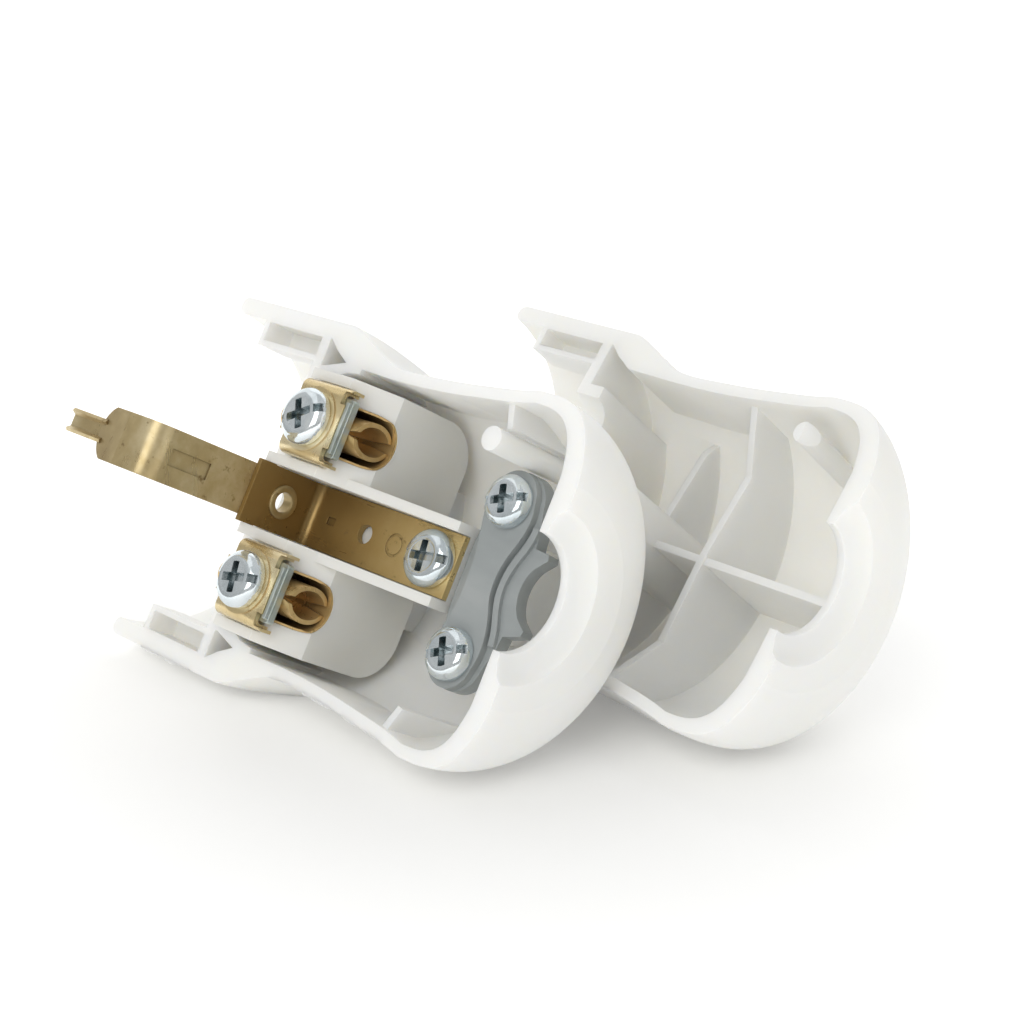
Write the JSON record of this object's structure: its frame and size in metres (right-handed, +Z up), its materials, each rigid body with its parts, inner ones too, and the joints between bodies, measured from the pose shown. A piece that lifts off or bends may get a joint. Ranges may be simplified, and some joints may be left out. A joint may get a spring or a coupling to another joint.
{
  "type": "in-line cable socket",
  "caption": "Rewireable in-line earthed socket, split lengthwise and lying open: one half holds the brass contacts, screw terminals and cable clamp, the other is the empty cover.",
  "frame": {"origin": "on the table, under the middle of the box round both halves", "axes": "+Z up from the table; +X along the barrel of the contact half, from the plug recess to the cable end; the open faces look to -Y and up"},
  "size_m": [0.0746, 0.0678, 0.0404],
  "materials": {
    "white_plastic": "semi-matt moulded plastic",
    "insert_plastic": "semi-matt moulded plastic",
    "grey_plastic": "matt moulded plastic",
    "brass": "rolled, satin",
    "dark_brass": "rolled, satin, slightly tarnished",
    "nut_steel": "zinc plated, dull",
    "zinc_steel": "bright blue-white zinc plating"
  },
  "bodies": {
    "root": {"base_shell": "white_plastic", "cover_shell": "white_plastic", "socket_insert": "insert_plastic", "line_contact": "brass", "neutral_contact": "brass", "line_terminal_cage": "brass", "neutral_terminal_cage": "brass", "line_clamp_nut": "nut_steel", "neutral_clamp_nut": "nut_steel", "line_terminal_screw": "zinc_steel", "neutral_terminal_screw": "zinc_steel", "earth_terminal_screw": "zinc_steel", "earth_terminal_strip": "dark_brass", "earth_spring_yoke": "brass", "earth_eyelet": "brass", "cable_clamp_bar": "grey_plastic", "cable_clamp_screw_upper": "zinc_steel", "cable_clamp_screw_lower": "zinc_steel"}
  },
  "joints": []
}
